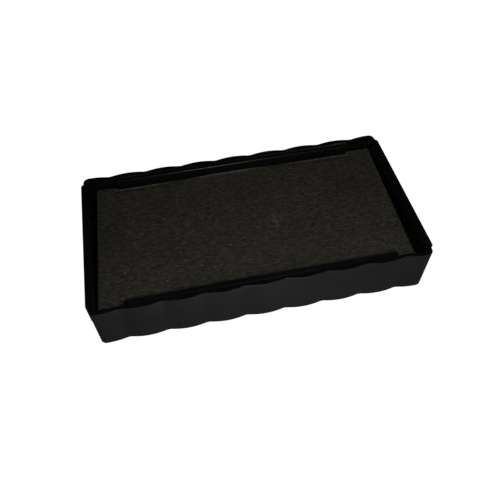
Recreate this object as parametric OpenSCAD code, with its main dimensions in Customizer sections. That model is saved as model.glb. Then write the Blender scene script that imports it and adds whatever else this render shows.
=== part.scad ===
// Exchangeable ink pad of a self-inking stamp: a moulded tray with scalloped
// finger grips on its long sides, a stack of felt under a cover cloth, and two
// strips that hold the felt's long edges down.
// Frame: X along the tray, Y across it, Z up. The tray stands on z = 0, centred on X and Y.

/* [Tray] */
// Length outside the end walls, without the guide rails
body_l = 55.7; // [46:0.1:68]
// Width across the valleys between the finger scallops
body_w = 28.5; // [23:0.1:35]
// Height from the base to the rim
body_h = 9.1; // [7.6:0.1:12]
// Radius of the upright corners
corner_r = 1; // [0.8:0.1:3]
// Thickness of the end walls
end_wall = 0.8; // [0.6:0.05:1.5]
// Thickness of the long walls at the scallop valleys
side_wall = 0.5; // [0.4:0.05:1.2]
// Thickness of the floor under the felt
floor_t = 1.2; // [0.8:0.1:2]
// Radius of the inside corners
pocket_r = 0.6; // [0.3:0.1:1.2]

/* [Finger scallops] */
// Distance from one valley to the next
scallop_pitch = 6.6; // [5:0.1:9]
// Height of a scallop's crest over its valleys
scallop_rise = 0.45; // [0.3:0.05:0.8]

/* [Guide rails] */
// How far a rail stands out of the end wall
rail_out = 0.45; // [0.2:0.05:0.8]
// Height of the rail, measured down from the rim
rail_h = 4.6; // [2:0.1:6]
// Distance from a rail's end to the tray's corner
rail_setback = 0.9; // [0.6:0.1:3]

/* [Underside] */
// Depth of the hollow under the floor
foot_h = 1; // [0.6:0.1:2]
// Width of the foot that runs round the base
foot_w = 1.5; // [1:0.1:2.5]
// Thickness of the stiffening ribs
rib_t = 0.8; // [0.6:0.1:1.2]
// Number of cross ribs
cross_ribs = 5; // [3:1:7]

/* [Retaining strips] */
// Width of a strip, measured out from the inside of the wall
strip_w = 1.07; // [0.7:0.05:1.6]
// Free length of wall between a strip's end and the end wall
strip_end_gap = 4.95; // [3:0.05:7]
// Chamfer on the strip's upper inside edge
strip_chamfer = 0.18; // [0.1:0.02:0.4]

/* [Felt and cloth] */
// Thickness of the adhesive film
film_t = 0.15; // [0.1:0.05:0.3]
// Thickness of the reservoir felt
reservoir_t = 2.8; // [2:0.1:3.2]
// Thickness of the inking felt
inking_t = 1.5; // [1:0.1:1.9]
// Thickness of the cover cloth
cloth_t = 0.25; // [0.15:0.05:0.4]
// Gap between the cloth and the walls
pad_gap = 0.2; // [0.1:0.05:0.4]
// Gap between the cloth and the strips over it
strip_lift = 0.12; // [0.05:0.01:0.3]

/* [Hidden] */
$fn = 64;
eps = 0.5;
plastic = [0.07, 0.07, 0.075];
felt = [0.22, 0.21, 0.18];
face_black = [0.12, 0.12, 0.10];

// Finger scallops: arcs that meet in sharp valleys, through the valley line and the crest line
scallop_r = pow(scallop_pitch / 2, 2) / (2 * scallop_rise) + scallop_rise / 2;
scallops_each_way = ceil(body_l / 2 / scallop_pitch);
crest_w = body_w + 2 * scallop_rise;

// Inside of the tray
pocket_l = body_l - 2 * end_wall;
pocket_w = body_w - 2 * side_wall;
floor_z = foot_h + floor_t;

// Stack of soft layers, from the floor up
film_z = floor_z;
reservoir_z = film_z + film_t;
inking_z = reservoir_z + reservoir_t;
cloth_z = inking_z + inking_t;
face_z = cloth_z + cloth_t;
cover_l = pocket_l - 2 * pad_gap;
cover_w = pocket_w - 2 * pad_gap;
felt_l = cover_l - 2 * cloth_t;
felt_w = cover_w - 2 * cloth_t;
felt_r = 0.3;

// Strips, from just over the cloth to the rim
strip_l = pocket_l - 2 * strip_end_gap;
strip_z = face_z + strip_lift;
strip_h = body_h - strip_z;

// Rectangle with true round corners, centred
module round_rect(l, w, r) {
  square([l - 2 * r, w], center = true);
  square([l, w - 2 * r], center = true);
  for (x = [-1, 1])
    for (y = [-1, 1])
      translate([x * (l / 2 - r), y * (w / 2 - r)])
        circle(r);
}

// Slab with round upright corners, standing on z = 0
module slab(l, w, r, h) {
  linear_extrude(h)
    round_rect(l, w, r);
}

// Plan of the tray: straight ends, scalloped long sides
module tray_plan() {
  intersection() {
    round_rect(body_l, crest_w, corner_r);
    union() {
      square([body_l + 2, body_w], center = true);
      for (i = [-scallops_each_way : scallops_each_way])
        for (side = [-1, 1])
          translate([i * scallop_pitch, side * (crest_w / 2 - scallop_r)])
            circle(scallop_r, $fn = 128);
    }
  }
}

// Rail on an end wall: bevelled at both ends, with a foot that slopes back to the wall
module guide_rail() {
  half_l = body_w / 2 - rail_setback;
  intersection() {
    rotate([90, 0, 0])
      linear_extrude(body_w, center = true)
        polygon([
          [-eps, -rail_h],
          [0, -rail_h],
          [rail_out, -rail_h + rail_out],
          [rail_out, 0],
          [-eps, 0]
        ]);
    translate([0, 0, -rail_h])
      linear_extrude(rail_h)
        polygon([
          [-eps, -half_l],
          [0, -half_l],
          [rail_out, -half_l + rail_out],
          [rail_out, half_l - rail_out],
          [0, half_l],
          [-eps, half_l]
        ]);
  }
}

// Ribs that stiffen the floor from below, level with the foot
module under_ribs() {
  rib_span = body_l - 2 * foot_w;
  rib_step = rib_span / (cross_ribs + 1);
  for (i = [1 : cross_ribs])
    translate([-rib_span / 2 + i * rib_step - rib_t / 2, -body_w / 2 + foot_w - eps, 0])
      cube([rib_t, body_w - 2 * foot_w + 2 * eps, foot_h]);
  translate([-rib_span / 2 - eps, -rib_t / 2, 0])
    cube([rib_span + 2 * eps, rib_t, foot_h]);
}

module tray() {
  color(plastic)
    union() {
      difference() {
        linear_extrude(body_h)
          tray_plan();
        translate([0, 0, floor_z])
          slab(pocket_l, pocket_w, pocket_r, body_h);
        translate([0, 0, -body_h])
          slab(body_l - 2 * foot_w, body_w - 2 * foot_w, pocket_r, body_h + foot_h);
      }
      under_ribs();
      for (turn = [0, 180])
        rotate([0, 0, turn])
          translate([body_l / 2, 0, body_h])
            guide_rail();
    }
}

// Bar along the inside of a long wall, with its upper inside edge taken off
module retaining_strip() {
  translate([-strip_l / 2, pocket_w / 2 - strip_w, strip_z])
    rotate([90, 0, 90])
      linear_extrude(strip_l)
        polygon([
          [0, 0],
          [strip_w, 0],
          [strip_w, strip_h],
          [strip_chamfer, strip_h],
          [0, strip_h - strip_chamfer]
        ]);
}

module retaining_strip_back() {
  color(plastic)
    retaining_strip();
}

module retaining_strip_front() {
  color(plastic)
    rotate([0, 0, 180])
      retaining_strip();
}

module bonding_film() {
  color("gainsboro")
    translate([0, 0, film_z])
      slab(felt_l, felt_w, felt_r, film_t);
}

module reservoir_felt() {
  color(felt)
    translate([0, 0, reservoir_z])
      slab(felt_l, felt_w, felt_r, reservoir_t);
}

module inking_felt() {
  color(felt)
    translate([0, 0, inking_z])
      slab(felt_l, felt_w, felt_r, inking_t);
}

// Cloth drawn over the inking felt and down its four sides
module cover_cloth() {
  color(face_black)
    difference() {
      translate([0, 0, inking_z])
        slab(cover_l, cover_w, felt_r + cloth_t, inking_t + cloth_t);
      translate([0, 0, inking_z - eps])
        slab(felt_l, felt_w, felt_r, inking_t + eps);
    }
}

tray();
retaining_strip_front();
retaining_strip_back();
bonding_film();
reservoir_felt();
inking_felt();
cover_cloth();
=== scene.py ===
"""Exchangeable ink pad of a self-inking stamp, in the order that it is put together."""

import math
import random

import bmesh
import bpy
from bmesh.types import BMEdge, BMFace, BMVert
from mathutils import Matrix, Vector, bvhtree, noise


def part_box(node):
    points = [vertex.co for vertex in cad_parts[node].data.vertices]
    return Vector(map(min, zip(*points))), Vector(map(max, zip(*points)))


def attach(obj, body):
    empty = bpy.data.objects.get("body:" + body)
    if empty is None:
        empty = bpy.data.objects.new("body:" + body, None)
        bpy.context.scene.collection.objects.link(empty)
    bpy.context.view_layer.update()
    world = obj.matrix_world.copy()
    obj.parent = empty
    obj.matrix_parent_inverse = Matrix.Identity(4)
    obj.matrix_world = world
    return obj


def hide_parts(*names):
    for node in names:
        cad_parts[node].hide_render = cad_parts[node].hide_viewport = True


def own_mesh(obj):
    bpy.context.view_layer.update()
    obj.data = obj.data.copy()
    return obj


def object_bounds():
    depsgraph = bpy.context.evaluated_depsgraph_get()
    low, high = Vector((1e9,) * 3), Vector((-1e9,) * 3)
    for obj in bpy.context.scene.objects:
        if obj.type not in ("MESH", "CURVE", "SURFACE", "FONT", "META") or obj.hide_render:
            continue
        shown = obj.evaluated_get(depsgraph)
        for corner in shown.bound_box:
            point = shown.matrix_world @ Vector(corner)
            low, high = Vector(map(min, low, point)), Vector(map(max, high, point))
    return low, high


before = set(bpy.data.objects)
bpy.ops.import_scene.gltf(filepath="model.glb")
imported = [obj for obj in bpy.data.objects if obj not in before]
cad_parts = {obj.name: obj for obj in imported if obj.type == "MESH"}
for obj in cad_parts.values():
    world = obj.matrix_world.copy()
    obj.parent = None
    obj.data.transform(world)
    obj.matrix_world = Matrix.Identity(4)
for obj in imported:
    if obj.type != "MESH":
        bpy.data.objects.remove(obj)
cad_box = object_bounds()

# ---------------------------------------------------------------------------
# Tray. One injection moulding in black polystyrene, open at the top. Its long
# sides are scalloped for the fingers, its plain ends carry the guide rails, and
# its floor is stiffened from below by ribs between shallow pockets.
# ---------------------------------------------------------------------------
mm = 0.001
scallop_pitch = 6.6 * mm
scallop_rise = 0.45 * mm
scallop_steps = 10
valley_r = 1.8 * mm
valley_turn = math.radians(25)
end_wall = 0.8 * mm
corner_r = 1.0 * mm
corner_steps = 8
pocket_r = 0.6 * mm
rail_out = 0.45 * mm
rail_h = 4.6 * mm
rail_setback = 0.9 * mm
foot_w = 1.5 * mm
foot_h = 1.0 * mm
foot_margin_x = 0.5 * mm
foot_margin_y = 0.4 * mm
rib_t = 0.8 * mm
cross_ribs = 5
rib_draft = 0.07 * mm
edge_r = 0.11 * mm
edge_turn = math.radians(40)
pin_d = 2.5 * mm
pin_depth = 0.1 * mm
pin_beyond_x = 20 * mm
pin_face_area = 50 * mm * mm
outline_join = 0.001 * mm
mesh_join = 0.002 * mm

tray_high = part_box("tray")[1]
strip_low, strip_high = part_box("retaining_strip_back")
rim_z = tray_high.z
end_x = tray_high.x - rail_out
crest_y = tray_high.y
valley_y = crest_y - scallop_rise
wall_y = strip_high.y
wall_x = end_x - end_wall
floor_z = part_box("bonding_film")[0].z
scallop_r = (scallop_pitch / 2) ** 2 / (2 * scallop_rise) + scallop_rise / 2
half_scallop = math.asin(scallop_pitch / 2 / scallop_r)
corner_x, corner_y = end_x - corner_r, crest_y - corner_r
rail_half = valley_y - rail_setback


def new_object(name, bm):
    """A finished bmesh as an object at the origin."""
    mesh = bpy.data.meshes.new(name)
    bm.to_mesh(mesh)
    bm.free()
    piece = bpy.data.objects.new(name, mesh)
    bpy.context.scene.collection.objects.link(piece)
    return piece


def smooth_by_angle(piece, degrees):
    """Smooth shading, with edges sharper than the angle left crisp."""
    piece.data.shade_smooth()
    piece.data.set_sharp_from_angle(angle=math.radians(degrees))


def those(kind, made):
    """The vertices, edges or faces among what an operator has made."""
    return [part for part in made["geom"] if isinstance(part, kind)]


def meeting(verts, links):
    """The edges or faces that meet at some vertices, each once and always in one order."""
    return list(dict.fromkeys(part for v in verts for part in getattr(v, links)))


def sweep(bm, vert, centre, angle, steps):
    """Sweeps a vertex round an upright axis and returns the last vertex of its arc."""
    made = bmesh.ops.spin(
        bm, geom=[vert], cent=centre, axis=(0, 0, 1), angle=angle, steps=steps, use_merge=False
    )
    return next(part for part in made["geom_last"] if isinstance(part, BMVert))


def draw_to(bm, vert, x, y):
    """Draws a straight edge from a vertex to x, y and returns the new vertex."""
    made = bmesh.ops.extrude_vert_indiv(bm, verts=[vert])
    made["verts"][0].co = Vector((x, y, vert.co.z))
    return made["verts"][0]


def turn_at(vert):
    """The angle by which an outline turns at one of its vertices."""
    towards, away = (e.other_vert(vert).co - vert.co for e in vert.link_edges)
    return math.pi - towards.angle(away)


def tray_outline(bm):
    """The tray's plan as one closed loop at z = 0: a quarter is drawn, then mirrored twice."""
    centre_y = crest_y - scallop_r
    tip = bm.verts.new((0, crest_y, 0))
    tip = sweep(bm, tip, (0, centre_y, 0), -half_scallop, scallop_steps // 2)
    for scallop in range(1, 4):
        centre = (scallop * scallop_pitch, centre_y, 0)
        tip = sweep(bm, tip, centre, -2 * half_scallop, scallop_steps)
    tip = sweep(bm, tip, (4 * scallop_pitch, centre_y, 0), -half_scallop, scallop_steps // 2)
    tip = draw_to(bm, tip, corner_x, crest_y)
    tip = sweep(bm, tip, (corner_x, corner_y, 0), -math.pi / 2, corner_steps)
    tip = draw_to(bm, tip, end_x, rail_half)
    draw_to(bm, tip, end_x, 0)
    for axis in "XY":
        bmesh.ops.mirror(bm, geom=bm.verts[:] + bm.edges[:], axis=axis, merge_dist=outline_join)
    bmesh.ops.remove_doubles(bm, verts=bm.verts[:], dist=outline_join)
    valleys = [v for v in bm.verts if turn_at(v) > valley_turn]
    bmesh.ops.bevel(
        bm, geom=valleys, offset=valley_r * math.tan(half_scallop), segments=4, profile=0.5,
        affect="VERTICES", material=-1, clamp_overlap=True,
    )


def inside_of(co, x, y, radius):
    """Where a point of the outline lies on a round-cornered rectangle inside it."""
    side_x, side_y = math.copysign(1, co.x), math.copysign(1, co.y)
    along_x, along_y = abs(co.x), abs(co.y)
    if along_x > corner_x and along_y > corner_y:
        turn = Vector((along_x - corner_x, along_y - corner_y)) / corner_r
        place = Vector((x - radius, y - radius)) + turn * radius
    elif along_y > corner_y:
        place = Vector((min(along_x, x - radius), y))
    else:
        place = Vector((x, min(along_y, y - radius)))
    return place.x * side_x, place.y * side_y


def extrude_loop(bm, edges):
    """Extrudes a closed loop of edges in place and returns the new loop."""
    made = bmesh.ops.extrude_edge_only(bm, edges=edges)
    return those(BMVert, made), those(BMEdge, made)


def pin_mark(bm, face, radius, depth):
    """A round witness mark of an ejector pin, pressed into a face of a pocket."""
    centre, border, normal = face.calc_center_median(), face.edges[:], face.normal.copy()
    bmesh.ops.delete(bm, geom=[face], context="FACES_ONLY")
    ring = bmesh.ops.create_circle(
        bm, segments=24, radius=radius, matrix=Matrix.Translation(centre)
    )["verts"]
    round_edges = meeting(ring, "link_edges")
    bmesh.ops.triangle_fill(bm, edges=border + round_edges, use_beauty=True, normal=normal)
    verts, edges = extrude_loop(bm, round_edges)
    bmesh.ops.translate(bm, verts=verts, vec=-normal * depth)
    bmesh.ops.edgeloop_fill(bm, edges=edges)


def raise_rail(bm, side):
    """Raises the guide rail on the upper half of one end, bevelled below and at its ends."""
    faces = [
        f for f in bm.faces
        if f.normal.x * side > 0.99
        and abs(f.calc_center_median().x) > wall_x + end_wall / 2
        and f.calc_center_median().z > rim_z - rail_h
        and abs(f.calc_center_median().y) < rail_half
    ]
    made = bmesh.ops.extrude_face_region(bm, geom=faces)
    bmesh.ops.delete(bm, geom=faces, context="FACES")
    for v in those(BMVert, made):
        v.co.x += side * rail_out
        if v.co.z < rim_z - rail_h / 2:
            v.co.z += rail_out
        if abs(v.co.y) > rail_half - rail_out / 2:
            v.co.y -= math.copysign(rail_out, v.co.y)


def mark_pins(bm):
    """Leaves the round mark of an ejector pin in each corner pocket."""
    corner_pockets = [
        f for f in bm.faces
        if f.normal.z < -0.9 and f.calc_area() > pin_face_area
        and f.calc_center_median().z > foot_h / 2
        and abs(f.calc_center_median().x) > pin_beyond_x
    ]
    for face in corner_pockets:
        pin_mark(bm, face, pin_d / 2, pin_depth)


def build_tray():
    """The tray, from its outline up to the rim, down to its floor and on to its underside."""
    bm = bmesh.new()
    tray_outline(bm)
    outline = bm.edges[:]

    # outer wall, in two lifts so that the rails start on an edge loop
    verts, edges = extrude_loop(bm, outline)
    bmesh.ops.translate(bm, verts=verts, vec=(0, 0, rim_z - rail_h))
    verts, edges = extrude_loop(bm, edges)
    bmesh.ops.translate(bm, verts=verts, vec=(0, 0, rail_h))

    # rim, inner wall and floor
    verts, edges = extrude_loop(bm, edges)
    for v in verts:
        v.co.xy = inside_of(v.co, wall_x, wall_y, pocket_r)
    verts, edges = extrude_loop(bm, edges)
    bmesh.ops.translate(bm, verts=verts, vec=(0, 0, floor_z - rim_z))
    bmesh.ops.edgeloop_fill(bm, edges=edges)

    # foot, with a grid of pockets inside it
    verts, edges = extrude_loop(bm, outline)
    for v in verts:
        v.co.xy = inside_of(v.co, end_x - foot_margin_x, valley_y - foot_margin_y, pocket_r)
    grid_x = end_x - foot_w + rib_t / 2
    grid_y = valley_y - foot_w + rib_t / 2
    grid = bmesh.ops.create_grid(
        bm, x_segments=cross_ribs + 1, y_segments=2, size=1,
        matrix=Matrix.Diagonal((grid_x, grid_y, -1, 1)),
    )["verts"]
    cells = meeting(grid, "link_faces")
    grid_border = [e for e in meeting(grid, "link_edges") if e.is_boundary]
    bmesh.ops.triangle_fill(bm, edges=edges + grid_border, use_beauty=True)
    bmesh.ops.recalc_face_normals(bm, faces=bm.faces[:])
    bmesh.ops.inset_individual(bm, faces=cells, thickness=rib_t / 2)
    bmesh.ops.inset_individual(bm, faces=cells, thickness=rib_draft, depth=-foot_h)
    for side in (-1, 1):
        raise_rail(bm, side)

    # small moulded radii on every hard edge
    bmesh.ops.remove_doubles(bm, verts=bm.verts[:], dist=mesh_join)
    bmesh.ops.recalc_face_normals(bm, faces=bm.faces[:])
    hard = [e for e in bm.edges if e.is_manifold and e.calc_face_angle() > edge_turn]
    bmesh.ops.bevel(
        bm, geom=hard, offset=edge_r, segments=2, profile=0.5, affect="EDGES",
        material=-1, clamp_overlap=True,
    )
    bmesh.ops.remove_doubles(bm, verts=bm.verts[:], dist=mesh_join)
    mark_pins(bm)
    bmesh.ops.recalc_face_normals(bm, faces=bm.faces[:])
    return new_object("tray_moulding", bm)


tray = build_tray()
smooth_by_angle(tray, degrees=24)
flat_faces = tray.modifiers.new("flat faces stay flat", "WEIGHTED_NORMAL")
flat_faces.keep_sharp = True


def linear(hex_code):
    """An sRGB hex colour as linear red, green, blue and alpha."""
    parts = [int(hex_code[i : i + 2], 16) / 255 for i in (1, 3, 5)]
    return [c / 12.92 if c <= 0.04045 else ((c + 0.055) / 1.055) ** 2.4 for c in parts] + [1]


def add(tree, kind, values=(), links=(), **settings):
    """Adds a node: its settings, then its sockets' values and links."""
    node = tree.nodes.new(kind)
    for name, value in settings.items():
        setattr(node, name, value)
    for socket, value in dict(values).items():
        node.inputs[socket].default_value = value
    for socket, source in dict(links).items():
        tree.links.new(source, node.inputs[socket])
    return node


def new_material(name):
    """An empty material, its node tree and its Object coordinates."""
    material = bpy.data.materials.new(name)
    material.use_nodes = True
    tree = material.node_tree
    tree.nodes.clear()
    place = add(tree, "ShaderNodeTexCoord").outputs["Object"]
    return material, tree, place


def finish_material(tree, values, links):
    """Ends a node tree in a Principled shader with the given values and links."""
    shader = add(tree, "ShaderNodeBsdfPrincipled", values, links)
    add(tree, "ShaderNodeOutputMaterial", links={"Surface": shader.outputs["BSDF"]})


def moulded_polystyrene(name, colour, roughness, shine=0.5):
    """Black polystyrene. The mould's fine grain, drawn 0.15 mm apart so that it shows,
    softens its reflections, handling has left drier patches some 6 mm across, and a thin
    coat of dried ink takes more or less of its shine."""
    material, tree, place = new_material(name)
    grain = add(
        tree, "ShaderNodeTexNoise", {"Scale": 1 / (0.15 * mm), "Detail": 2, "Roughness": 0.6},
        {"Vector": place},
    )
    patches = add(
        tree, "ShaderNodeTexNoise", {"Scale": 1 / (6 * mm), "Detail": 4, "Roughness": 0.65},
        {"Vector": place},
    )
    gloss = add(
        tree, "ShaderNodeMapRange",
        {"From Min": 0.3, "From Max": 0.7, "To Min": roughness - 0.04, "To Max": roughness + 0.06},
        {"Value": patches.outputs["Fac"]},
    )
    bump = add(
        tree, "ShaderNodeBump", {"Strength": 0.25, "Distance": 0.01 * mm},
        {"Height": grain.outputs["Fac"]},
    )
    finish_material(
        tree,
        {"Base Color": linear(colour), "IOR": 1.55, "Specular IOR Level": shine},
        {"Roughness": gloss.outputs["Result"], "Normal": bump.outputs["Normal"]},
    )
    return material


inside_finish = moulded_polystyrene("polished_black_polystyrene", "#050505", 0.25, shine=0.32)
outside_finish = moulded_polystyrene("spark_eroded_black_polystyrene", "#060606", 0.45)
side_skin = 0.3 * mm
tray.data.materials.append(inside_finish)
tray.data.materials.append(outside_finish)
for face in tray.data.polygons:
    on_side = abs(face.center.y) > wall_y + side_skin
    on_end = abs(face.center.x) > wall_x + end_wall / 2
    if (on_side or on_end) and abs(face.normal.z) < 0.5:
        face.material_index = 1
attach(tray, "tray_body")
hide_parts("tray")

# ---------------------------------------------------------------------------
# Adhesive film. A thin double-sided film, cut to the felt and stuck to the floor under
# it. Its amber glue is clear and shiny, with slow ripples where it was pressed down.
# Nothing of it shows once the pad is together, so the drawn piece is kept as it is.
# ---------------------------------------------------------------------------
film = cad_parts["bonding_film"]
film_material, film_tree, film_place = new_material("amber_adhesive_film")
film_ripple = add(
    film_tree, "ShaderNodeTexNoise", {"Scale": 1 / (2 * mm), "Detail": 3}, {"Vector": film_place}
)
film_bump = add(
    film_tree, "ShaderNodeBump", {"Strength": 0.4, "Distance": 0.02 * mm},
    {"Height": film_ripple.outputs["Fac"]},
)
finish_material(
    film_tree,
    {"Base Color": linear("#8f8266"), "Roughness": 0.3, "IOR": 1.47},
    {"Normal": film_bump.outputs["Normal"]},
)
film.data.materials.clear()
film.data.materials.append(film_material)

# ---------------------------------------------------------------------------
# Reservoir felt. A thick soft felt, die-cut and full of ink, glued to the film.
# It is what gives under a stamp.
# ---------------------------------------------------------------------------
felt_shear = 0.034
felt_short = 0.45 * mm

cover_low, cover_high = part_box("cover_cloth")
reservoir_low, reservoir_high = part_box("reservoir_felt")


def skewed(co):
    """Where a point of a felt lies: the felts are cut a little askew and a little short."""
    return Vector((co.x * (1 - felt_short / cover_high.x) + felt_shear * co.y, co.y, co.z))


def felt_block(name, low, high, step, edge):
    """A felt cut to a box, with soft edges. It is meshed in squares of about one step."""
    bm = bmesh.new()
    half = (high - low) / 2
    bmesh.ops.create_grid(
        bm, x_segments=round(2 * half.x / step), y_segments=round(2 * half.y / step), size=1,
        matrix=Matrix.Translation((0, 0, high.z)) @ Matrix.Diagonal((half.x, half.y, 1, 1)),
    )
    bmesh.ops.recalc_face_normals(bm, faces=bm.faces[:])
    bmesh.ops.solidify(bm, geom=bm.faces[:], thickness=high.z - low.z)
    bmesh.ops.recalc_face_normals(bm, faces=bm.faces[:])
    rims = [e for e in bm.edges if e.calc_face_angle(0) > 1]
    bmesh.ops.bevel(
        bm, geom=rims, offset=edge, segments=3, profile=0.5, affect="EDGES", material=-1
    )
    for v in bm.verts:
        v.co = skewed(v.co)
    return new_object(name, bm)


def darker(colour, share):
    """A hex colour as linear values, darkened to a share of its light."""
    return [c * share for c in linear(colour)[:3]] + [1]


def pressed_felt(name, colour, tuft_size):
    """Wool felt soaked with black ink. Its fibres are too fine to show and are drawn as
    matted tufts, each a soft bump. The ink has dried unevenly, which leaves the colour
    mottled and the surface almost without gloss."""
    material, tree, place = new_material(name)
    tufts = add(
        tree, "ShaderNodeTexNoise", {"Scale": 1 / tuft_size, "Detail": 4, "Distortion": 1.5},
        {"Vector": place},
    )
    tone = add(
        tree, "ShaderNodeMixRGB", {"Color1": darker(colour, 0.6), "Color2": linear(colour)},
        {"Fac": tufts.outputs["Fac"]},
    )
    bump = add(
        tree, "ShaderNodeBump", {"Strength": 0.8, "Distance": 0.08 * mm},
        {"Height": tufts.outputs["Fac"]},
    )
    finish_material(
        tree,
        {"Roughness": 0.95, "Specular IOR Level": 0.2, "Sheen Weight": 0.1, "Sheen Roughness": 0.6},
        {"Base Color": tone.outputs["Color"], "Normal": bump.outputs["Normal"]},
    )
    return material


felt_material = pressed_felt("ink_soaked_wool_felt", "#1a1917", tuft_size=0.35 * mm)
reservoir = felt_block(
    "reservoir_felt_pad", reservoir_low, reservoir_high, step=0.9 * mm, edge=0.15 * mm
)
reservoir.data.shade_smooth()
reservoir.data.materials.append(felt_material)
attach(reservoir, "tray_body")
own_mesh(reservoir)
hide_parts("reservoir_felt")

# ---------------------------------------------------------------------------
# Inking felt and cover cloth. A thin dense felt meters the ink, and a fine cloth is
# drawn over it. The strips hold both down along the long sides, so the face swells
# between them, bulges against their feet and lifts a little at the free corners.
# ---------------------------------------------------------------------------
sim_scale = 100
swell_limit = 0.35 * mm
held_rim = 0.1 * mm
held_height = 0.4 * mm
side_height = 1.2 * mm
felt_slack = 0.09 * mm
felt_lift = 0.02 * mm
# the face is full for a length either way of full_x, and dips along the strips beyond it
full_x = -1 * mm
full_half = 11 * mm
dip_depth = 0.42 * mm
dip_width = 0.4 * mm
# where it is full it swells towards a strip and ends in a narrow roll against the foot
swollen_height = 0.26 * mm
swollen_width = 1.8 * mm
roll_height = 0.27 * mm
roll_width = 0.24 * mm
roll_half = 6 * mm
roll_setback = 0.09 * mm
roll_back_width = 0.06 * mm
roll_cuts = (0, 0.04, 0.09, 0.14, 0.2, 0.27, 0.36, 0.48)

inking_low, inking_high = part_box("inking_felt")
cloth_t = cover_high.z - inking_high.z
grip_y = strip_low.y
grip_x = strip_high.x
squeezed_x = grip_x + 0.3 * mm


def is_held(co):
    """Whether a point of the pad is held still, under a strip or along the foot."""
    under_strip = abs(co.y) > grip_y - held_rim and abs(co.x) < grip_x
    return under_strip or co.z < inking_low.z + held_height


def swell(piece):
    """Inflates the pad with the cloth solver, held under the strips and along its foot.
    The solver works on a copy a hundred times the size, where its distances suit it."""
    rest = [v.co.copy() for v in piece.data.vertices]
    held = piece.vertex_groups.new(name="held")
    held.add([i for i, co in enumerate(rest) if is_held(co)], 1, "REPLACE")
    piece.data.transform(Matrix.Scale(sim_scale, 4))
    cloth = piece.modifiers.new("swell", "CLOTH")
    cloth.settings.quality = 6
    cloth.settings.mass = 0.3
    cloth.settings.tension_stiffness = 30
    cloth.settings.compression_stiffness = 30
    cloth.settings.shear_stiffness = 15
    cloth.settings.bending_stiffness = 4
    cloth.settings.use_pressure = True
    cloth.settings.uniform_pressure_force = 0.06
    cloth.settings.vertex_group_mass = "held"
    cloth.settings.effector_weights.gravity = 0
    cloth.collision_settings.use_collision = False
    scene = bpy.context.scene
    for step in range(1, 21):
        scene.frame_set(step)
    depsgraph = bpy.context.evaluated_depsgraph_get()
    shaped = [v.co / sim_scale for v in piece.evaluated_get(depsgraph).data.vertices]
    piece.modifiers.remove(cloth)
    piece.vertex_groups.remove(held)
    scene.frame_set(1)
    for v, start, end in zip(piece.data.vertices, rest, shaped):
        move = end - start
        v.co = start + move * min(1, swell_limit / max(move.length, 1e-9))


def middle_of(x, half, power):
    """One along the middle of the pad, where it is full, falling to nothing beyond it."""
    return math.exp(-(abs((x - full_x) / half) ** power))


form = felt_block("cover_form", cover_low, cover_high, step=0.5 * mm, edge=0.22 * mm)
swell(form)
for v in form.data.vertices:
    if v.co.z > inking_high.z and abs(v.co.x) < squeezed_x:
        from_strip = (grip_y - abs(v.co.y)) / dip_width
        slack = 1 - middle_of(v.co.x, full_half, power=6)
        v.co.z -= dip_depth * slack * math.exp(-(from_strip ** 2))


def draw_in(verts, room, lift):
    """Draws points of the form in all round and lowers its face, to leave room outside
    them. The underside is only lifted a little."""
    for v in verts:
        share = min(1, (v.co.z - cover_low.z) / side_height)
        v.co.x *= 1 - room / cover_high.x
        v.co.y *= 1 - room / cover_high.y
        v.co.z += lift * (1 - share) - room * share


def felt_under(form):
    """The inking felt: the form, drawn in by a little more than the cloth's thickness."""
    bm = bmesh.new()
    bm.from_mesh(form.data)
    draw_in(bm.verts, room=cloth_t + felt_slack, lift=felt_lift)
    return new_object("inking_felt_pad", bm)


def relief(co):
    """Height of the cloth over the form: slow dips and rises, matted fibres that run
    along the tray, and a roll where the full middle is squeezed against a strip."""
    height = 0
    for rise, along, across, layer in (
        (0.04 * mm, 7 * mm, 5 * mm, 0.3),
        (0.03 * mm, 1.3 * mm, 0.55 * mm, 4.1),
        (0.018 * mm, 0.7 * mm, 0.35 * mm, 9.7),
    ):
        height += rise * noise.noise(Vector((co.x / along, co.y / across, layer)))
    if abs(co.x) < squeezed_x:
        to_roll = grip_y - roll_setback - abs(co.y)
        swollen = swollen_height * middle_of(co.x, full_half, power=6)
        rolled = roll_height * middle_of(co.x, roll_half, power=2)
        for rise, width in ((swollen, swollen_width), (rolled, roll_width)):
            if to_roll <= 0:
                width = roll_back_width
            height += rise * math.exp(-((to_roll / width) ** 2))
    return height


def cloth_over(form):
    """The cover cloth: the form's face and sides, cut finely along the strips for the
    roll, doubled one thickness inside, closed along its lower edge and given its relief."""
    bm = bmesh.new()
    bm.from_mesh(form.data)
    bm.normal_update()
    below = [f for f in bm.faces if f.normal.z < -0.3]
    bmesh.ops.delete(bm, geom=below, context="FACES")
    bmesh.ops.subdivide_edges(bm, edges=bm.edges[:], cuts=1, use_grid_fill=True, smooth=0.3)
    for side in (-1, 1):
        for back in roll_cuts:
            bmesh.ops.bisect_plane(
                bm, geom=bm.verts[:] + bm.edges[:] + bm.faces[:], dist=0.005 * mm,
                plane_co=(0, side * (grip_y - back * mm), 0), plane_no=(0, 1, 0),
            )
    inside = bmesh.ops.duplicate(bm, geom=bm.verts[:] + bm.edges[:] + bm.faces[:])
    bmesh.ops.reverse_faces(bm, faces=those(BMFace, inside))
    draw_in(those(BMVert, inside), room=cloth_t, lift=0)
    bmesh.ops.bridge_loops(bm, edges=[e for e in bm.edges if e.is_boundary])
    bm.normal_update()
    for v in bm.verts:
        if abs(v.normal.z) > 0.5 and not (abs(v.co.y) > grip_y and abs(v.co.x) < grip_x):
            v.co.z += relief(v.co)
    return new_object("cover_cloth_sheet", bm)


inking_felt = felt_under(form)
inking_felt.data.shade_smooth()
inking_felt.data.materials.append(felt_material)
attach(inking_felt, "pad_face")
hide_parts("inking_felt")

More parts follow.
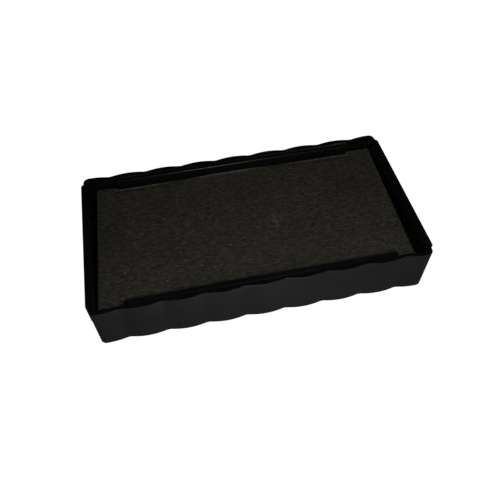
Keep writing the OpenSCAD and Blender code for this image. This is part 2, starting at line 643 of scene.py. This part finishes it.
cover = cloth_over(form)
cover.data.shade_smooth()
bpy.data.objects.remove(form)


def inked_cover_cloth():
    """Fine polyester cloth stained charcoal by ink and still damp with it, so that its
    matted threads glint a little. The threads are about 0.05 mm thick. They are drawn as
    streaks 0.2 to 0.35 mm wide and 0.7 to 1.2 mm long, in two directions, so that they
    show. Darker stains some 9 mm across lie over them."""
    material, tree, place = new_material("inked_polyester_cloth")
    fibres = []
    for lean, length, width in ((-0.08, 1.15, 0.34), (0.25, 0.7, 0.22)):
        laid = add(
            tree, "ShaderNodeMapping",
            {"Rotation": (0, 0, lean), "Scale": (1 / (length * mm), 1 / (width * mm), 1)},
            {"Vector": place},
        )
        fibres.append(add(
            tree, "ShaderNodeTexNoise",
            {"Scale": 1, "Detail": 4, "Roughness": 0.58, "Distortion": 0.8},
            {"Vector": laid.outputs["Vector"]},
        ))
    matted = add(
        tree, "ShaderNodeMath", links={0: fibres[0].outputs["Fac"], 1: fibres[1].outputs["Fac"]},
        operation="ADD",
    )
    tone = add(
        tree, "ShaderNodeMapRange", {"From Min": 0.84, "From Max": 1.42},
        {"Value": matted.outputs["Value"]},
    )
    dyed = add(
        tree, "ShaderNodeMixRGB", {"Color1": linear("#131311"), "Color2": linear("#3c392e")},
        {"Fac": tone.outputs["Result"]},
    )
    stains = add(
        tree, "ShaderNodeTexNoise", {"Scale": 1 / (9 * mm), "Detail": 3}, {"Vector": place}
    )
    stain_share = add(
        tree, "ShaderNodeMapRange",
        {"From Min": 0.5, "From Max": 0.75, "To Min": 0.0, "To Max": 0.35},
        {"Value": stains.outputs["Fac"]},
    )
    stained = add(
        tree, "ShaderNodeMixRGB", {"Color2": linear("#111113")},
        {"Color1": dyed.outputs["Color"], "Fac": stain_share.outputs["Result"]},
    )
    bump = add(
        tree, "ShaderNodeBump", {"Strength": 1.0, "Distance": 0.05 * mm},
        {"Height": matted.outputs["Value"]},
    )
    finish_material(
        tree,
        {"Roughness": 0.62, "Specular IOR Level": 0.18},
        {"Base Color": stained.outputs["Color"], "Normal": bump.outputs["Normal"]},
    )
    return material


cover.data.materials.append(inked_cover_cloth())
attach(cover, "pad_face")
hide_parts("cover_cloth")

# ---------------------------------------------------------------------------
# Lint. Short loose fibres that the felt sheds and dust that settles on wet ink. They
# lie flat on the cloth, mostly grey with ink, a few of them still pale. The grey fibres
# are also lighter than the cloth so that they stand for the glints of wet threads: their
# colour is partly painted glint.
# ---------------------------------------------------------------------------
fibre_d = 0.035 * mm
fibre_steps = 4
fibre_turns = (0.2, 0.5, 0.9)
fibre_sunk = 0.3
lean_spread = 0.7
edge_free = 1
strip_free = 0.5


def fibre_mesh(turn):
    """One bent fibre a millimetre long, lying along X."""
    bm = bmesh.new()
    radius = 1 * mm / turn
    ring = bmesh.ops.create_circle(
        bm, segments=3, radius=fibre_d / 2, cap_ends=True,
        matrix=Matrix.Rotation(math.pi / 2, 4, "Y"),
    )["verts"]
    bmesh.ops.spin(
        bm, geom=meeting(ring, "link_faces"), cent=(0, radius, 0), axis=(0, 0, 1),
        angle=turn, steps=fibre_steps, use_merge=False,
    )
    bmesh.ops.translate(bm, verts=bm.verts[:], vec=(-0.5 * mm, 0, 0))
    bmesh.ops.recalc_face_normals(bm, faces=bm.faces[:])
    mesh = bpy.data.meshes.new("fibre")
    bm.to_mesh(mesh)
    bm.free()
    return mesh


def scatter(name, places, seed, lengths):
    """Fibres laid on the cloth at the given places, each turned at random."""
    chance = random.Random(seed)
    shapes = [fibre_mesh(turn) for turn in fibre_turns]
    bpy.context.view_layer.update()
    surface = bvhtree.BVHTree.FromObject(cover, bpy.context.evaluated_depsgraph_get())
    bm = bmesh.new()
    for x, y in places:
        hit, _, _, _ = surface.ray_cast(Vector((x * mm, y * mm, rim_z)), Vector((0, 0, -1)))
        mesh = chance.choice(shapes).copy()
        length = chance.uniform(*lengths)
        mesh.transform(
            Matrix.Translation(hit + Vector((0, 0, fibre_d * fibre_sunk)))
            @ Matrix.Rotation(chance.gauss(0, lean_spread), 4, "Z")
            @ Matrix.Diagonal((length, length, 1, 1))
        )
        bm.from_mesh(mesh)
        bpy.data.meshes.remove(mesh)
    return new_object(name, bm)


def fibre_material(name, colour):
    """Polyester or wool fibre: a soft, slightly shiny thread, coloured by the ink it took."""
    material, tree, place = new_material(name)
    shade = add(
        tree, "ShaderNodeTexNoise", {"Scale": 1 / (2 * mm), "Detail": 2}, {"Vector": place}
    )
    tone = add(
        tree, "ShaderNodeMixRGB", {"Color1": darker(colour, 0.4), "Color2": linear(colour)},
        {"Fac": shade.outputs["Fac"]},
    )
    finish_material(tree, {"Roughness": 0.6}, {"Base Color": tone.outputs["Color"]})
    return material


def anywhere(count, seed):
    """Places on the whole face, in millimetres, more of them near the front."""
    chance = random.Random(seed)
    reach_x, reach_y = cover_high.x / mm - edge_free, grip_y / mm - strip_free
    return [
        (chance.uniform(-reach_x, reach_x), reach_y * (1 - 2 * chance.random() ** 0.75))
        for _ in range(count)
    ]


def tuft(count, seed, x, y, spread_x, spread_y):
    """Places crowded round one point, in millimetres."""
    chance = random.Random(seed)
    return [(chance.gauss(x, spread_x), chance.gauss(y, spread_y)) for _ in range(count)]


def clumps(count, seed):
    """Specks of lint, a few fibres each, in millimetres. They lie on the front half, left
    of a line a little right of the middle, and most of them near the front."""
    right, front, reach_x, reach_y = 8, -12, 32, 9
    chance = random.Random(seed)
    specks = []
    for number in range(count):
        x = right - reach_x * chance.random()
        y = front + reach_y * chance.random() ** 1.3
        specks += tuft(chance.randint(2, 6), number, x, y, spread_x=0.12, spread_y=0.06)
    return specks


one_tuft = tuft(330, seed=31, x=4.8, y=-0.4, spread_x=0.42, spread_y=1.05)
for lint_name, lint_places, lint_seed, lint_lengths, lint_colour in (
    ("inked_fibres", anywhere(900, seed=11), 12, (0.2, 0.7), "#2c2a25"),
    # the grey fibres are grey with ink, and lighter than that as a painted glint of wet threads
    ("grey_fibres_painted_glint", anywhere(520, seed=23), 24, (0.12, 0.4), "#625f54"),
    ("lint_tuft", one_tuft, 32, (0.12, 0.3), "#5d5a52"),
    ("pale_lint", clumps(14, seed=5) + anywhere(20, seed=5), 6, (0.15, 0.35), "#bfbbae"),
):
    lint = scatter(lint_name, lint_places, lint_seed, lint_lengths)
    lint.data.materials.append(fibre_material(lint_name + "_thread", lint_colour))
    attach(lint, "pad_face")

# ---------------------------------------------------------------------------
# Retaining strips. Two bars of the same black polystyrene, twice as high as they are
# wide, welded inside the long walls level with the rim. They lie over the edges of the
# cloth, end short of the corners and are dulled by the ink that has dried on them.
# ---------------------------------------------------------------------------
strip_round = 0.12 * mm
strip_edge_r = 0.06 * mm


def build_strip(name, side):
    """A strip made for the back wall, and turned half round for the front one."""
    bm = bmesh.new()
    size = strip_high - strip_low
    bmesh.ops.create_cube(bm, size=1, matrix=Matrix.Diagonal((size.x, size.y, size.z, 1)))
    upper_inside = [
        e for e in bm.edges
        if all(v.co.y < 0 and v.co.z > 0 for v in e.verts)
    ]
    ends_inside = [
        e for e in bm.edges
        if all(v.co.y < 0 for v in e.verts) and abs(e.verts[0].co.z - e.verts[1].co.z) > size.z / 2
    ]
    bmesh.ops.bevel(
        bm, geom=upper_inside + ends_inside, offset=strip_round, segments=3, profile=0.5,
        affect="EDGES", material=-1,
    )
    rest = [e for e in bm.edges if e.calc_face_angle() > 1]
    bmesh.ops.bevel(
        bm, geom=rest, offset=strip_edge_r, segments=2, profile=0.5, affect="EDGES",
        material=-1,
    )
    bmesh.ops.translate(bm, verts=bm.verts[:], vec=(strip_low + strip_high) / 2)
    if side < 0:
        bmesh.ops.rotate(bm, verts=bm.verts[:], matrix=Matrix.Rotation(math.pi, 3, "Z"))
    strip = new_object(name + "_bar", bm)
    smooth_by_angle(strip, degrees=40)
    strip.data.materials.append(strip_material)
    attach(strip, "tray_body")
    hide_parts(name)


strip_material = moulded_polystyrene("satin_black_polystyrene", "#070707", 0.32, shine=0.15)
build_strip("retaining_strip_back", 1)
build_strip("retaining_strip_front", -1)

# ---------------------------------------------------------------------------
# The plain studio round the part: a pale floor, soft lights and the camera.
# ---------------------------------------------------------------------------
floor_half = 1.5
paper_white = 1.05


def white_to_camera(tree, white_kind, unseen, output_kind):
    """Shows plain white to the camera, while all other rays meet the unseen shader."""
    white = add(tree, white_kind, {"Color": linear("#ffffff"), "Strength": paper_white})
    rays = add(tree, "ShaderNodeLightPath")
    mix = add(
        tree, "ShaderNodeMixShader",
        links={0: rays.outputs["Is Camera Ray"], 1: unseen.outputs[0], 2: white.outputs[0]},
    )
    add(tree, output_kind, links={"Surface": mix.outputs["Shader"]})


# paper that throws back only as much light on the part as grey card would, so that black
# plastic stays black
paper, paper_tree, _ = new_material("white_paper_sweep")
grey_card = add(paper_tree, "ShaderNodeBsdfDiffuse", {"Color": linear("#5a5a5a")})
white_to_camera(paper_tree, "ShaderNodeEmission", grey_card, "ShaderNodeOutputMaterial")
floor_bm = bmesh.new()
bmesh.ops.create_grid(floor_bm, x_segments=1, y_segments=1, size=floor_half)
floor = new_object("studio_floor", floor_bm)
floor.data.materials.append(paper)

# the room is dark to the part too
world = bpy.data.worlds.new("dark_studio")
world.use_nodes = True
room = world.node_tree
room.nodes.clear()
unlit = add(room, "ShaderNodeBackground", {"Color": linear("#121212")})
white_to_camera(room, "ShaderNodeBackground", unlit, "ShaderNodeOutputWorld")
bpy.context.scene.world = world
bpy.context.scene.view_settings.view_transform = "Standard"

lit_point = (cad_box[0] + cad_box[1]) / 2


def soft_light(name, place, size, watts):
    """A softbox, size wide and high, that faces the part and isn't itself in the picture."""
    data = bpy.data.lights.new(name, "AREA")
    data.shape = "RECTANGLE"
    data.size, data.size_y = size
    data.energy = watts
    light = bpy.data.objects.new(name, data)
    light.location = place
    light.rotation_euler = (lit_point - Vector(place)).to_track_quat("-Z", "Y").to_euler()
    light.visible_camera = False
    bpy.context.scene.collection.objects.link(light)


# a small lamp above the front and a card before the wall, then long boxes near the floor
soft_light("lamp_above_front", (0.008, -0.062, 0.088), (0.045, 0.03), 0.098)
soft_light("card_before_wall", (-0.002, -0.062, 0.005), (0.03, 0.006), 0.009)
long_box = (0.30, 0.03)
soft_light("strip_front_right", (0.34, -0.36, 0.018), long_box, 0.34)
soft_light("strip_front_left", (-0.40, -0.20, 0.018), long_box, 0.05)
soft_light("strip_back_right", (0.20, 0.45, 0.018), long_box, 0.18)
soft_light("strip_back_left", (-0.20, 0.45, 0.018), long_box, 0.18)

# the camera stands before the front, a little to the left, and looks down at the pad
look_at = Vector((-1.87, -1.74, 4.5)) * mm
distance = 96.2 * mm
azimuth, elevation, roll = math.radians(-10.22), math.radians(52.44), math.radians(1.635)
towards_camera = Vector((
    math.sin(azimuth) * math.cos(elevation),
    -math.cos(azimuth) * math.cos(elevation),
    math.sin(elevation),
))
camera_data = bpy.data.cameras.new("camera")
camera_data.lens = 40.69
camera_data.clip_start = 0.005
camera = bpy.data.objects.new("camera", camera_data)
camera.location = look_at + towards_camera * distance
turn = (-towards_camera).to_track_quat("-Z", "Y").to_matrix().to_4x4()
camera.rotation_mode = "QUATERNION"
camera.rotation_quaternion = (turn @ Matrix.Rotation(-roll, 4, "Z")).to_quaternion()
bpy.context.scene.collection.objects.link(camera)
bpy.context.scene.camera = camera
